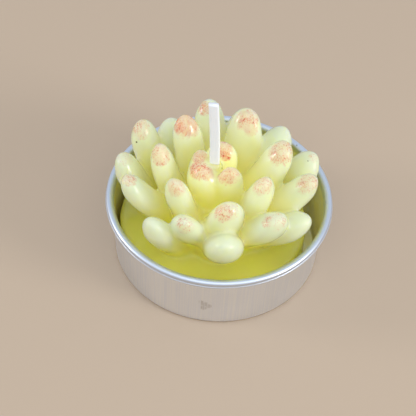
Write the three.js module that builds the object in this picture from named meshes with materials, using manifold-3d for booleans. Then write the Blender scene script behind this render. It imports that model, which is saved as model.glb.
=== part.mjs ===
// Succulent candle: a moulded wax rosette with a round foot, standing loose in a
// drawn aluminium tealight cup, with a cotton wick held by a tinplate sustainer.
// Millimetres, +Z up. The origin is the middle of the cup's underside, and the
// side that faces the viewer is -Y.

import * as THREE from 'three';
import { mergeVertices } from 'three/addons/utils/BufferGeometryUtils.js';
import Module from 'manifold-3d';

const wasm = await Module();
wasm.setup();

// Driving dimensions of the cup
const rimDiameter = 38;
const cupHeight = 12.4;
const rimOverhang = 1.15;
const rimRoll = 0.5;
const wallTaper = 0.6;
const sheetThickness = 0.25;
const cornerRadius = 0.6;
const skirtDepth = 1;
const hemRadius = 0.2;
const hemTurn = 60;
const beadDiameter = 24;
const beadWidth = 1.6;
const beadHeight = 0.35;

// Driving dimensions of the wax foot, of the mound that the leaves grow from,
// and of the collar of wax that climbs the wick
const footClearance = 1.25;
const footHeight = 5.8;
const footEdgeRadius = 0.5;
const footBottomRadius = 1;
const moundDiameter = 19.6;
const moundHeight = 8.1;
const collarBaseDiameter = 5.6;
const collarTopDiameter = 3.1;
const collarHeight = 4.8;

// The candle stands off the cup's axis by this share of the foot's clearance
const shiftShare = 0.6;

// Driving dimensions of the flat braided wick and its sustainer
const wickWidth = 1.65;
const wickThickness = 0.8;
const wickCornerRadius = 0.3;
const wickRise = 27.2;
const wickShift = 0.4;
const wickLean = 0.85;
const straightWickRise = 9.3;
const sustainerDiameter = 12.5;
const tabThickness = 0.25;
const tabStepDiameter = 7;
const tabStepHeight = 0.3;
const neckHeight = 3;
const neckWall = 0.25;
const crimpDepth = 0.12;

// Clearances, and the overrun that every cut and join shares
const seatClearance = 0.3;
const wickClearance = 0.3;
const crimpClearance = 0.25;
const overrun = 1;

// Driving dimensions of the leaf rings. The outer tips pass the edge of the wax
// foot by the overhang, and each ring's tips stand in from the ring outside it
// by the setback. A rise is a height over the top of the wax foot, a root is
// where a leaf leaves the mound, and a depth is how far it runs on inside.
const outerOverhang = 0.55;
const outerTipRise = 11.3;
const outerRootReach = 8;
const outerRootRise = 0.6;
const outerWidth = 5.8;
const outerDepth = 2.6;

const middleSetback = 1;
const middleTipRise = 13.6;
const middleRootReach = 7.6;
const middleRootRise = 2.9;
const middleWidth = 5.4;
const middleDepth = 5.2;

const innerSetback = 4.7;
const innerTipRise = 15.8;
const innerRootReach = 4.5;
const innerRootRise = 2.2;
const innerWidth = 5.6;
const innerDepth = 4;

const heartReach = 3.45;
const heartTipRise = 14.7;
const heartRootReach = 1.4;
const heartRootRise = 5.3;
const heartWidth = 5.5;
const heartDepth = 7;

// A leaf's section is an ellipse. It swells from a narrow root and ends round.
const leafBow = 0.5;
const thicknessShare = 0.78;
const rootWidthShare = 0.85;
const widestShare = 0.6;
const fullness = 2.3;
const rounding = 0.55;

// Facets
const cupSides = 48;
const hemSteps = 2;
const footSides = 48;
const moundSides = 24;
const moundSteps = 6;
const leafSides = 10;
const leafSteps = 7;
const collarSides = 16;
const wickSteps = 8;
const wickCornerSteps = 3;
const tabSides = 24;

// Sizes worked out from the driving dimensions
const rimRadius = rimDiameter / 2;
const wallTopRadius = rimRadius - rimOverhang;
const baseRadius = wallTopRadius - wallTaper;
const footRadius = baseRadius - sheetThickness - footClearance;
const footBottom = sheetThickness + beadHeight + seatClearance;
const footTop = footBottom + footHeight;
const candleShift = footClearance * shiftShare;
const outerReach = footRadius + outerOverhang;
const middleReach = outerReach - middleSetback;
const innerReach = middleReach - innerSetback;
const wickTop = footTop + wickRise;
const bendHeight = footTop + straightWickRise;
const neckInner = wickWidth / 2 + crimpClearance + crimpDepth;
const neckOuter = neckInner + neckWall;
const tabBottom = footBottom;
const tabTop = tabBottom + tabThickness;
const neckTop = tabBottom + neckHeight;

// The rosette. start is the first leaf's turn from the front, in degrees. A row
// is one leaf: its turn as a share of the step from leaf to leaf, then the
// shares of the ring's reach, tip rise, root reach and width that it has. The
// last is how far its root is turned from its tip, again as a share of the step.
const rings = [
  {
    start: 9.5,
    reach: outerReach,
    tipRise: outerTipRise,
    rootReach: outerRootReach,
    rootRise: outerRootRise,
    width: outerWidth,
    depth: outerDepth,
    leafShares: [
      [0.0, 0.98, 1.01, 0.8, 1.1, 0],
      [-0.01, 1.09, 0.97, 0.89, 1.0, 0],
      [-0.06, 1.06, 1.01, 1.18, 1.03, 0],
      [0.01, 0.99, 0.99, 0.94, 0.98, 0],
      [0.02, 0.92, 0.96, 1.02, 1.0, 0],
      [-0.06, 1.0, 1.04, 1.25, 0.93, 0],
      [0.05, 0.97, 1.03, 1.11, 0.92, 0],
    ],
  },
  {
    start: -17,
    reach: middleReach,
    tipRise: middleTipRise,
    rootReach: middleRootReach,
    rootRise: middleRootRise,
    width: middleWidth,
    depth: middleDepth,
    leafShares: [
      [-0.07, 0.91, 1.0, 0.88, 0.94, 0],
      [0.17, 1.03, 1.02, 0.99, 1.09, 0],
      [-0.04, 1.07, 1.0, 1.05, 1.01, 0],
      [-0.11, 0.97, 0.96, 0.87, 1.07, 0],
      [-0.01, 0.98, 0.99, 1.05, 0.97, 0],
      [-0.02, 1.02, 1.02, 1.46, 0.96, 0],
      [-0.05, 1.02, 1.01, 1.05, 0.98, 0],
    ],
  },
  {
    start: 10,
    reach: innerReach,
    tipRise: innerTipRise,
    rootReach: innerRootReach,
    rootRise: innerRootRise,
    width: innerWidth,
    depth: innerDepth,
    leafShares: [
      [0.09, 1.01, 0.92, 1.11, 1.1, -0.24],
      [-0.07, 0.91, 1.01, 1.11, 0.98, 0],
      [-0.11, 1.13, 1.0, 0.96, 1.09, 0],
      [-0.17, 1.08, 1.03, 1.13, 1.09, 0],
      [0.01, 0.99, 0.99, 0.96, 0.96, 0],
      [-0.05, 0.94, 0.99, 1.18, 0.92, 0],
      [-0.05, 0.91, 1.02, 1.04, 0.92, 0],
    ],
  },
  {
    start: 37,
    reach: heartReach,
    tipRise: heartTipRise,
    rootReach: heartRootReach,
    rootRise: heartRootRise,
    width: heartWidth,
    depth: heartDepth,
    leafShares: [
      [0.05, 1.01, 1.05, 2.08, 0.79, 0.08],
      [0.45, 1.08, 1.01, 1.0, 0.95, 0],
      [0.37, 0.94, 1.01, 1.0, 0.78, 0],
      [0.02, 0.93, 0.99, 1.0, 1.0, 0],
    ],
  },
];

// The points of an arc in a profile, from one angle to another in degrees
function arc(centreX, centreY, radius, from, to, steps) {
  const points = [];
  for (let i = 0; i <= steps; i += 1) {
    const angle = THREE.MathUtils.degToRad(THREE.MathUtils.lerp(from, to, i / steps));
    const x = centreX + radius * Math.cos(angle);
    const y = centreY + radius * Math.sin(angle);
    points.push(new THREE.Vector2(x, y));
  }
  return points;
}

// A closed profile of even thickness on both sides of a centre line
function sheetProfile(centreLine, thickness) {
  const left = [];
  const right = [];
  centreLine.forEach((point, i) => {
    const before = centreLine[Math.max(i - 1, 0)];
    const after = centreLine[Math.min(i + 1, centreLine.length - 1)];
    const arriving = point.clone().sub(before).normalize();
    const leaving = after.clone().sub(point).normalize();
    const along = arriving.clone().add(leaving).normalize();
    const mitre = Math.max(along.dot(arriving), along.dot(leaving));
    const aside = new THREE.Vector2(-along.y, along.x).multiplyScalar(thickness / 2 / mitre);
    left.push(point.clone().add(aside));
    right.push(point.clone().sub(aside));
  });
  return [...right, ...left.reverse()];
}

// A profile of radius and height, turned about +Z
function revolve(profile, sides) {
  const geometry = new THREE.LatheGeometry(profile, sides);
  geometry.rotateX(Math.PI / 2);
  return weld(geometry);
}

// Position only, with shared corners and no flat triangles
function weld(geometry) {
  geometry.deleteAttribute('normal');
  geometry.deleteAttribute('uv');
  const merged = mergeVertices(geometry);
  const index = Array.from(merged.index.array);
  const kept = [];
  for (let i = 0; i < index.length; i += 3) {
    const [a, b, c] = index.slice(i, i + 3);
    if (a !== b && b !== c && c !== a) {
      kept.push(a, b, c);
    }
  }
  merged.setIndex(kept);
  return merged;
}

function toSolid(geometry) {
  const mesh = new wasm.Mesh({
    numProp: 3,
    vertProperties: new Float32Array(geometry.attributes.position.array),
    triVerts: new Uint32Array(geometry.index.array),
  });
  return new wasm.Manifold(mesh);
}

function toGeometry(solid) {
  const { vertProperties, triVerts } = solid.getMesh();
  const geometry = new THREE.BufferGeometry();
  geometry.setAttribute('position', new THREE.BufferAttribute(vertProperties, 3));
  geometry.setIndex(new THREE.BufferAttribute(triVerts, 1));
  return geometry;
}

// The cup is one sheet: a floor with a pressed stiffening bead, a round corner,
// a tapered wall, and a rim that flares, rolls over and ends in a short skirt
// whose hem turns out.
function makeCup() {
  const half = sheetThickness / 2;
  const beadRadius = beadDiameter / 2;
  const wallLean = THREE.MathUtils.radToDeg(Math.atan2(wallTaper, cupHeight));
  const cornerX = baseRadius - half - cornerRadius;
  const hemOut = THREE.MathUtils.degToRad(hemTurn);
  const hemEdge = THREE.MathUtils.degToRad(hemTurn * (1 - 1 / (2 * hemSteps)));
  const skirtX = rimRadius - hemRadius * (1 - Math.cos(hemOut)) - half * Math.cos(hemEdge);
  const rollRadius = rimRoll - half;
  const crestX = skirtX - rollRadius;
  const flareRadius = crestX - wallTopRadius + half;
  const flareY = cupHeight - half - flareRadius;
  const hemY = cupHeight - skirtDepth + hemRadius * Math.sin(hemOut);
  const centreLine = [
    new THREE.Vector2(0, half),
    ...arc(beadRadius, half - beadWidth / 2, beadHeight + beadWidth / 2, 135, 45, 4),
    ...arc(cornerX, half + cornerRadius, cornerRadius, -90, -wallLean, 3),
    ...arc(crestX, flareY, flareRadius, 180 - wallLean, 90, 4),
    ...arc(crestX, cupHeight - rimRoll, rollRadius, 90, 0, 4).slice(1),
    ...arc(skirtX + hemRadius, hemY, hemRadius, 180, 180 + hemTurn, hemSteps),
  ];
  return revolve(sheetProfile(centreLine, sheetThickness), cupSides);
}

// Half the leaf's width, as a share, at a share of its length
function leafShape(along) {
  if (along <= widestShare) {
    const swell = Math.sin(along / widestShare * Math.PI / 2);
    return rootWidthShare + (1 - rootWidthShare) * swell;
  }
  const end = (along - widestShare) / (1 - widestShare);
  return Math.max(1 - end ** fullness, 0) ** rounding;
}

// One leaf stands with its root on the origin, along +Y, with its width along
// X, and bows towards +Z, its underside
function makeLeaf(width, length, depth) {
  const profile = [new THREE.Vector2(0, -depth), new THREE.Vector2(rootWidthShare, -depth)];
  for (let i = 0; i <= leafSteps; i += 1) {
    const along = Math.sin(i / leafSteps * Math.PI / 2);
    profile.push(new THREE.Vector2(leafShape(along), along * length));
  }
  const geometry = new THREE.LatheGeometry(profile, leafSides);
  geometry.scale(width / 2, 1, width / 2 * thicknessShare);
  const position = geometry.attributes.position;
  for (let i = 0; i < position.count; i += 1) {
    const along = THREE.MathUtils.clamp(position.getY(i) / length, 0, 1);
    position.setZ(i, position.getZ(i) + leafBow * Math.sin(Math.PI * along));
  }
  return weld(geometry);
}

// The place at a turn from the front, in degrees, and a distance from the axis
function outFromAxis(turn, distance) {
  const angle = THREE.MathUtils.degToRad(turn);
  return new THREE.Vector3(Math.sin(angle), -Math.cos(angle), 0).multiplyScalar(distance);
}

// A leaf in its place in a ring, as a solid
function placeLeaf(ring, shares, i) {
  const [turnShare, reachShare, tipRiseShare, rootReachShare, widthShare, rootTurnShare] = shares;
  const step = 360 / ring.leafShares.length;
  const tipTurn = ring.start + step * (i + turnShare);
  const tip = outFromAxis(tipTurn, ring.reach * reachShare);
  tip.z = footTop + ring.tipRise * tipRiseShare;
  const root = outFromAxis(tipTurn + step * rootTurnShare, ring.rootReach * rootReachShare);
  root.z = footTop + ring.rootRise;
  const along = tip.clone().sub(root);
  const geometry = makeLeaf(ring.width * widthShare, along.length(), ring.depth);
  along.normalize();
  const aside = new THREE.Vector3(-along.y, along.x, 0).normalize();
  const under = aside.clone().cross(along);
  geometry.applyMatrix4(new THREE.Matrix4().makeBasis(aside, along, under).setPosition(root));
  return toSolid(geometry);
}

// The foot is a round block of wax with soft edges
function makeFoot() {
  const profile = [
    new THREE.Vector2(0, footBottom),
    ...arc(footRadius - footBottomRadius, footBottom + footBottomRadius, footBottomRadius, -90, 0, 3),
    ...arc(footRadius - footEdgeRadius, footTop - footEdgeRadius, footEdgeRadius, 0, 90, 3),
    new THREE.Vector2(0, footTop),
  ];
  return toSolid(revolve(profile, footSides));
}

// The mound is half an ellipsoid that reaches a little way into the foot
function makeMound() {
  const moundRadius = moundDiameter / 2;
  const profile = [
    new THREE.Vector2(0, footTop - overrun),
    new THREE.Vector2(moundRadius, footTop - overrun),
  ];
  for (let i = 0; i <= moundSteps; i += 1) {
    const angle = i / moundSteps * Math.PI / 2;
    const height = footTop + moundHeight * Math.sin(angle);
    profile.push(new THREE.Vector2(moundRadius * Math.cos(angle), height));
  }
  return toSolid(revolve(profile, moundSides));
}

// The collar is a cone that narrows up the wick, out of the top of the mound
function makeCollar() {
  const bottom = footTop + moundHeight - overrun;
  const profile = [
    new THREE.Vector2(0, bottom),
    new THREE.Vector2(collarBaseDiameter / 2, bottom),
    new THREE.Vector2(collarTopDiameter / 2, bottom + collarHeight + overrun),
    new THREE.Vector2(0, bottom + collarHeight + overrun),
  ];
  const collar = revolve(profile, collarSides);
  collar.translate(-wickShift, 0, 0);
  return toSolid(collar);
}

// The wax is one casting: the foot, the mound, the collar and the leaves in
// rings, with a slot for the wick and a recess below for the sustainer.
function makeWax() {
  let wax = makeFoot().add(makeMound()).add(makeCollar());
  rings.forEach((ring) => {
    ring.leafShares.forEach((shares, i) => {
      wax = wax.add(placeLeaf(ring, shares, i));
    });
  });
  return toGeometry(wax.subtract(makeSustainerRoom()).subtract(makeWickRoom()));
}

// The recess that the sustainer takes up in the wax, open below
function makeSustainerRoom() {
  const recessRadius = sustainerDiameter / 2 + seatClearance;
  const recessTop = tabTop + seatClearance;
  const stepRadius = tabStepDiameter / 2 + seatClearance;
  const stepTop = recessTop + tabStepHeight;
  const neckRadius = neckOuter + seatClearance;
  const profile = [
    new THREE.Vector2(0, footBottom - overrun),
    new THREE.Vector2(recessRadius, footBottom - overrun),
    new THREE.Vector2(recessRadius, recessTop),
    new THREE.Vector2(stepRadius, recessTop),
    new THREE.Vector2(stepRadius, stepTop),
    new THREE.Vector2(neckRadius, stepTop),
    new THREE.Vector2(neckRadius, neckTop + seatClearance),
    new THREE.Vector2(0, neckTop + seatClearance),
  ];
  const room = revolve(profile, tabSides);
  room.translate(-wickShift, 0, 0);
  return toSolid(room);
}

// The slot that the wick takes up in the wax, open above
function makeWickRoom() {
  return toSolid(makeWick(wickClearance, neckTop, wickTop + overrun));
}

// A flat strip along the wick's line, larger than the wick all round by the
// margin. It is upright to the bend and curves away from there.
function makeWick(margin, bottom, top) {
  const halfWidth = wickWidth / 2 + margin;
  const halfThickness = wickThickness / 2 + margin;
  const corner = wickCornerRadius + margin;
  const cornerX = halfWidth - corner;
  const cornerY = halfThickness - corner;
  const section = new THREE.Shape([
    ...arc(cornerX, cornerY, corner, 0, 90, wickCornerSteps),
    ...arc(-cornerX, cornerY, corner, 90, 180, wickCornerSteps),
    ...arc(-cornerX, -cornerY, corner, 180, 270, wickCornerSteps),
    ...arc(cornerX, -cornerY, corner, 270, 360, wickCornerSteps),
  ]);
  const strip = { depth: top - bottom, steps: wickSteps, bevelEnabled: false };
  const geometry = weld(new THREE.ExtrudeGeometry(section, strip));
  geometry.translate(-wickShift, 0, bottom);
  const position = geometry.attributes.position;
  for (let i = 0; i < position.count; i += 1) {
    const risen = Math.max(position.getZ(i) - bendHeight, 0) / (wickTop - bendHeight);
    position.setX(i, position.getX(i) - wickLean * risen ** 2);
  }
  return geometry;
}

// The sustainer is pressed from one disc: a flat tab, a raised middle, and a
// neck whose waist is pinched in towards the wick
function makeSustainer() {
  const tabRadius = sustainerDiameter / 2;
  const stepRadius = tabStepDiameter / 2;
  const stepTop = tabTop + tabStepHeight;
  const stepUnder = tabBottom + tabStepHeight;
  const waistHeight = (stepTop + neckTop) / 2;
  const waist = [
    new THREE.Vector2(0, waistHeight - 3 * crimpDepth),
    new THREE.Vector2(-crimpDepth, waistHeight - crimpDepth),
    new THREE.Vector2(-crimpDepth, waistHeight + crimpDepth),
    new THREE.Vector2(0, waistHeight + 3 * crimpDepth),
  ];
  const neck = (radius) => waist.map((point) => new THREE.Vector2(point.x + radius, point.y));
  const profile = [
    new THREE.Vector2(tabRadius, tabBottom),
    new THREE.Vector2(tabRadius, tabTop),
    new THREE.Vector2(stepRadius, tabTop),
    new THREE.Vector2(stepRadius - tabStepHeight, stepTop),
    new THREE.Vector2(neckOuter, stepTop),
    ...neck(neckOuter),
    new THREE.Vector2(neckOuter, neckTop),
    new THREE.Vector2(neckInner, neckTop),
    ...neck(neckInner).reverse(),
    new THREE.Vector2(neckInner, stepUnder),
    new THREE.Vector2(stepRadius - tabStepHeight - tabThickness, stepUnder),
    new THREE.Vector2(stepRadius - tabThickness, tabBottom),
  ];
  profile.push(profile[0].clone());
  const geometry = revolve(profile, tabSides);
  geometry.translate(-wickShift, 0, 0);
  return geometry;
}

const aluminium = new THREE.MeshStandardMaterial({ color: 0xb4b2b0, roughness: 0.35, metalness: 1 });
const limeWax = new THREE.MeshStandardMaterial({ color: 0xdbdf9c, roughness: 0.4, metalness: 0 });
const cotton = new THREE.MeshStandardMaterial({ color: 0xf1f0ea, roughness: 0.9, metalness: 0 });
const tinplate = new THREE.MeshStandardMaterial({ color: 0x9a9a98, roughness: 0.4, metalness: 1 });

function piece(name, geometry, material) {
  const mesh = new THREE.Mesh(geometry, material);
  mesh.name = name;
  return mesh;
}

const candle = new THREE.Group();
candle.add(piece('wax_rosette', makeWax(), limeWax));
candle.add(piece('wick', makeWick(0, tabBottom, wickTop), cotton));
candle.add(piece('wick_sustainer', makeSustainer(), tinplate));
candle.position.x = -candleShift;

const succulentCandle = new THREE.Group();
succulentCandle.add(piece('tealight_cup', makeCup(), aluminium));
succulentCandle.add(candle);

export default succulentCandle;
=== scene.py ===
import math
from functools import partial

import bmesh
import bpy
import numpy as np
from mathutils import Matrix, Vector


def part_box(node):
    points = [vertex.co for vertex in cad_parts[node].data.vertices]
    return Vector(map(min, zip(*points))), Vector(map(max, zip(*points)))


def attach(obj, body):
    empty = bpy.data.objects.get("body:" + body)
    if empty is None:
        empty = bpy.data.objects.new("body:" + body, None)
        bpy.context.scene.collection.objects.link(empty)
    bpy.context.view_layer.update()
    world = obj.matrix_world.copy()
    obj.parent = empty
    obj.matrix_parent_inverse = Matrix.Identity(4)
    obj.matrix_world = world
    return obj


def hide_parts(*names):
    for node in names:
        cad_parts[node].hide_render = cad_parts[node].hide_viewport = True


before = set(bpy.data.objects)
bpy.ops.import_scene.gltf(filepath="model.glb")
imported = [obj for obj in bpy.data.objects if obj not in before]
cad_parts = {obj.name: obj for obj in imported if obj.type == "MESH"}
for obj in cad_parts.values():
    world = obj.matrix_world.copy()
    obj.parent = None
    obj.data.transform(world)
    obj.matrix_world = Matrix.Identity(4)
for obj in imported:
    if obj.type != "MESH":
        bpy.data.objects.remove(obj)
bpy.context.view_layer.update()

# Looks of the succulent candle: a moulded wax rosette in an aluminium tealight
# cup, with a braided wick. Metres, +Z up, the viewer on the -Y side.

_, cup_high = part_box("tealight_cup")
wick_low, wick_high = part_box("wick")
tab_low, tab_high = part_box("wick_sustainer")
wax_low, wax_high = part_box("wax_rosette")

# Sizes of the cup
rim_radius = cup_high.x
cup_height = cup_high.z
sheet = 0.00025
rim_overhang = 0.00115
rim_roll = 0.0005
wall_taper = 0.0006
corner_radius = 0.0006
skirt_depth = 0.001
hem_radius = 0.0002
hem_turn = 78
hem_steps = 6
bead_radius = 0.012
bead_width = 0.0016
bead_height = 0.00035
inside_reach = 0.0009
skirt_reach = 0.0006
cup_sides = 256

# How uneven the cup's thin sheet is. A wave is how often it goes up and down round
# the cup, where it starts, and its share.
wall_dent = 0.00004
wall_waves = [(3, 0.7, 1.0), (5, 2.1, 0.8), (8, 4.0, 0.6)]
hem_dent = 0.00003
hem_rise = 0.000088
hem_waves = [(9, 1.0, 1.0), (17, 0.3, 0.7), (31, 2.0, 0.5)]
hem_worst_turn = 2.3
hem_least_share = 0.15

# Fades, each from where a thing is absent to where it is full. The lumps' is
# measured from the foot's bottom and the foot colour's from its top.
dent_fades = [(0.001, 0.004), (0.0112, 0.0092)]
dent_radius_fade = (0.015, 0.016)
satin_wall_fade = (0.0112, 0.0108)
# Where the inner film fades in; the film is partly wax and partly painted reflection of the wax.
film_and_reflection_fade = (0.0115, 0.0106)
wet_wick_fade = (0.0211, 0.0202)
lump_fade = (0.002, 0.004)
foot_colour_fade = (0.0006, -0.0003)

# Sizes of the wax. The candle's axis stands off the cup's by candle_shift.
candle_shift = -0.00075
foot_bottom = wax_low.z
foot_top = foot_bottom + 0.0058
leaf_bow = 0.0005
thickness_share = 0.78
root_width_share = 0.85
widest_share = 0.6
fullness = 2.3
rounding = 0.55
skin_margin = 0.0007
lump_height = 0.00001
lump_waves = 14
lump_lengths = (0.003, 0.008)

# How the paint and the leaves' colours run into one another. A place counts from
# deepest inside a leaf to farthest outside it. A dab's edge and core are shares.
paint_blend = 0.00035
unpainted_weight = 0.02
deepest, farthest = -0.001, 0.02
last_dab_share = 0.97
dab_edge = 1.5
dab_core = 3

# Sizes of the wick and of the tinplate tab that holds it
wick_x = (tab_low.x + tab_high.x) / 2
wick_width = 0.00165
wick_thickness = 0.0008
wick_corner = 0.0003
wick_lean = 0.00085
wick_steps = 220
bend_height = foot_top + 0.0093
tab_sheet = 0.00025
tab_radius = (tab_high.x - tab_low.x) / 2
tab_step_radius = 0.0035
tab_step_height = 0.0003
neck_radius = 0.001445
waist_depth = 0.00012
tab_clearance = 0.00015
tab_sides = 96

# Sizes of the wax casting, as the named inputs of its node tree. The mound goes
# down to its depth under the foot's top, and its creases change above their rise.
casting = {
    "Low Corner": tuple(value - skin_margin for value in wax_low),
    "High Corner": tuple(value + skin_margin for value in wax_high),
    "Voxel": 0.00027, "Thickness Share": thickness_share,
    "Root Width Share": root_width_share, "Widest Share": widest_share,
    "Fullness": fullness, "Rounding": rounding, "Bow": leaf_bow,
    "Axis": (candle_shift, 0, 0), "Wick Place": (wick_x, 0, 0),
    "Foot Radius": 0.01575, "Foot Bottom": foot_bottom, "Foot Top": foot_top,
    "Foot Edge": 0.0005, "Foot Under Edge": 0.001,
    "Mound Radius": 0.0085, "Mound Height": 0.0075, "Mound Depth": 0.002,
    "Collar Radius": 0.0027, "Collar Slope": 0.26, "Collar Height": 0.0136,
    "Low Crease": 0.0007, "High Crease": 0.0006, "Crease Rise": 0.005,
}

# Small marks, each as its centre and its radius
scuff_marks = [
    ((-0.0017, -0.01742, 0.0055), 0.0005), ((-0.0011, -0.01742, 0.005), 0.0007),
    ((-0.0004, -0.01742, 0.0046), 0.00055), ((-0.0013, -0.01742, 0.004), 0.0006),
]
cup_dirt = [((0.01263, 0.01299, 0.01222), 0.00016), ((-0.01477, 0.00934, 0.00997), 0.00014)]
wall_nick = [((0.00399, -0.01718, 0.00874), 0.0004)]
wax_dirt = [
    ((-0.01444, 0.00551, 0.01807), 0.00018), ((-0.01397, 0.00307, 0.01608), 0.0002),
    ((-0.00623, 0.00339, 0.01387), 0.0002), ((-0.00587, 0.00316, 0.01366), 0.00015),
    ((0.01158, -0.00954, 0.01655), 0.00014), ((0.01424, 0.00436, 0.01779), 0.00012),
    ((-0.00001, -0.00032, 0.01949), 0.00022), ((-0.00058, -0.00083, 0.01999), 0.00016),
]

# Lamps: name, turn from the front to the right and height, both in degrees, then
# distance, width, height and power
lamps = [
    ("key_right", 66, 20, 0.5, 0.17, 0.19, 1.1),
    ("fill_left", -88, 17, 0.5, 0.15, 0.16, 0.65),
    ("front", 5, 58, 0.7, 0.9, 0.7, 1.6),
]

# The rosette's rings. start is the first leaf's turn from the front, in degrees,
# and paleness is painted light: how far the wax has turned from yellow to pale at
# the tips, standing for light through thin wax and for how brightly each ring is lit.
# A row of leaf_shares is one leaf: its turn as a share of the step from leaf to
# leaf, then its shares of the ring's reach, tip rise, root reach and width, and
# how far its root is turned from its tip, as a share of the step. A row of paint
# is the same leaf's dabs of pink: share of the leaf's length, turn round the
# leaf in degrees, radius, and how much smooth wash and how many specks it has.
outer_ring = {
    "start": 9.5, "paleness_with_painted_light": 1.0, "reach": 0.0163, "tip_rise": 0.0113,
    "root_reach": 0.008, "root_rise": 0.0006, "width": 0.0058, "depth": 0.0026,
    "leaf_shares": [
        [0.0, 0.98, 1.01, 0.8, 1.1, 0],
        [-0.01, 1.09, 0.97, 0.89, 1.0, 0],
        [-0.06, 1.06, 1.01, 1.18, 1.03, 0],
        [0.01, 0.99, 0.99, 0.94, 0.98, 0],
        [0.02, 0.92, 0.96, 1.02, 1.0, 0],
        [-0.06, 1.0, 1.04, 1.25, 0.93, 0],
        [0.05, 0.97, 1.03, 1.11, 0.92, 0],
    ],
    "paint": [
        [], [], [(0.97, -37, 0.0009, 0.15, 0.5)], [], [],
        [(0.97, 0, 0.0015, 0.15, 0.1)], [],
    ],
}
middle_ring = {
    "start": -17, "paleness_with_painted_light": 1.1, "reach": 0.0153, "tip_rise": 0.0136,
    "root_reach": 0.0076, "root_rise": 0.0029, "width": 0.0054, "depth": 0.0052,
    "leaf_shares": [
        [-0.07, 0.91, 1.0, 0.88, 0.94, 0],
        [0.17, 1.03, 1.02, 0.99, 1.09, 0],
        [-0.04, 1.07, 1.0, 1.05, 1.01, 0],
        [-0.11, 0.97, 0.96, 0.87, 1.07, 0],
        [-0.01, 0.98, 0.99, 1.05, 0.97, 0],
        [-0.02, 1.02, 1.02, 1.46, 0.96, 0],
        [-0.05, 1.02, 1.01, 1.05, 0.98, 0],
    ],
    "paint": [
        [(0.99, 77, 0.0022, 0.13, 0.25), (0.93, 161, 0.001, 0.18, 0.6)],
        [(0.97, -26, 0.002, 0.12, 0.25), (0.88, -50, 0.0009, 0.2, 0.75)],
        [(0.92, -30, 0.0019, 0.3, 0.7)],
        [],
        [(0.89, 36, 0.0013, 0.42, 1.1)],
        [(0.95, 51, 0.0019, 0.28, 0.5)],
        [(0.98, 2, 0.0014, 0.3, 0.8)],
    ],
}
inner_ring = {
    "start": 10, "paleness_with_painted_light": 0.9, "reach": 0.0106, "tip_rise": 0.0158,
    "root_reach": 0.0045, "root_rise": 0.0022, "width": 0.0056, "depth": 0.004,
    "leaf_shares": [
        [0.09, 1.01, 0.92, 1.11, 1.1, -0.24],
        [-0.07, 0.91, 1.01, 1.11, 0.98, 0],
        [-0.11, 1.13, 1.0, 0.96, 1.09, 0],
        [-0.17, 1.08, 1.03, 1.13, 1.09, 0],
        [0.01, 0.99, 0.99, 0.96, 0.96, 0],
        [-0.05, 0.94, 0.99, 1.18, 0.92, 0],
        [-0.05, 0.91, 1.02, 1.04, 0.92, 0],
    ],
    "paint": [
        [(1.0, -73, 0.0025, 0.18, 0.2), (0.95, -95, 0.0013, 0.32, 0.85)],
        [(0.98, -57, 0.002, 0.36, 0.65)],
        [(0.92, -26, 0.0023, 0.32, 0.8)],
        [(0.91, -11, 0.002, 0.42, 0.7), (0.81, -37, 0.0011, 0.3, 0.6)],
        [(0.93, 0, 0.0025, 0.66, 0.55), (0.9, 67, 0.0011, 0.8, 1.0)],
        [(0.95, 59, 0.002, 0.42, 0.75)],
        [(0.99, 116, 0.0019, 0.38, 0.4)],
    ],
}
heart_ring = {
    "start": 37, "paleness_with_painted_light": 0.65, "reach": 0.00345, "tip_rise": 0.0147,
    "root_reach": 0.0014, "root_rise": 0.0053, "width": 0.0055, "depth": 0.007,
    "leaf_shares": [
        [0.05, 1.01, 1.05, 2.08, 0.79, 0.08],
        [0.45, 1.08, 1.01, 1.0, 0.95, 0],
        [0.37, 0.94, 1.01, 1.0, 0.78, 0],
        [0.02, 0.93, 0.99, 1.0, 1.0, 0],
    ],
    "paint": [
        [(0.99, -118, 0.0023, 0.55, 0.6)],
        [(0.95, -14, 0.0016, 0.58, 0.9), (0.83, -24, 0.0009, 0.5, 0.9)],
        [(0.98, 69, 0.0016, 0.6, 0.7)],
        [(0.98, -145, 0.0018, 0.5, 1.1), (0.95, 68, 0.0013, 0.52, 0.6)],
    ],
}
rings = [outer_ring, middle_ring, inner_ring, heart_ring]


# Helpers

def linear(red, green, blue):
    """A colour seen as 0 to 255, as the linear colour that a shader takes"""
    def channel(value):
        value = value / 255
        return value / 12.92 if value <= 0.04045 else ((value + 0.055) / 1.055) ** 2.4
    return (channel(red), channel(green), channel(blue), 1.0)


def feed(tree, node, inputs):
    """Links a node's inputs to sockets, or sets them where they are given values"""
    for key, value in inputs.items():
        if isinstance(value, bpy.types.NodeSocket):
            tree.links.new(value, node.inputs[key])
        else:
            node.inputs[key].default_value = value


def add_node(tree, kind, inputs=None, **settings):
    """A node with its settings, and its inputs linked to sockets or set to values"""
    node = tree.nodes.new(kind)
    for name, value in settings.items():
        setattr(node, name, value)
    feed(tree, node, inputs or {})
    return node


def maths(tree, operation, *values):
    inputs = dict(enumerate(values))
    return add_node(tree, "ShaderNodeMath", inputs, operation=operation).outputs[0]


def vectors(tree, operation, *values):
    node = add_node(tree, "ShaderNodeVectorMath", dict(enumerate(values)), operation=operation)
    return node.outputs["Value" if operation in ("LENGTH", "DOT_PRODUCT") else "Vector"]


def height_of(tree, place):
    return add_node(tree, "ShaderNodeSeparateXYZ", {0: place}).outputs[2]


def ramp(tree, value, low, high, out_low=0.0, out_high=1.0):
    """value from low to high, turned smoothly to out_low to out_high"""
    inputs = {0: value, 1: low, 2: high, 3: out_low, 4: out_high}
    node = add_node(tree, "ShaderNodeMapRange", inputs, interpolation_type="SMOOTHSTEP")
    return node.outputs[0]


def mixed(tree, factor, first, second, blend="MIX"):
    inputs = {0: factor, 6: first, 7: second}
    return add_node(tree, "ShaderNodeMix", inputs, data_type="RGBA", blend_type=blend).outputs[2]


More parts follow.
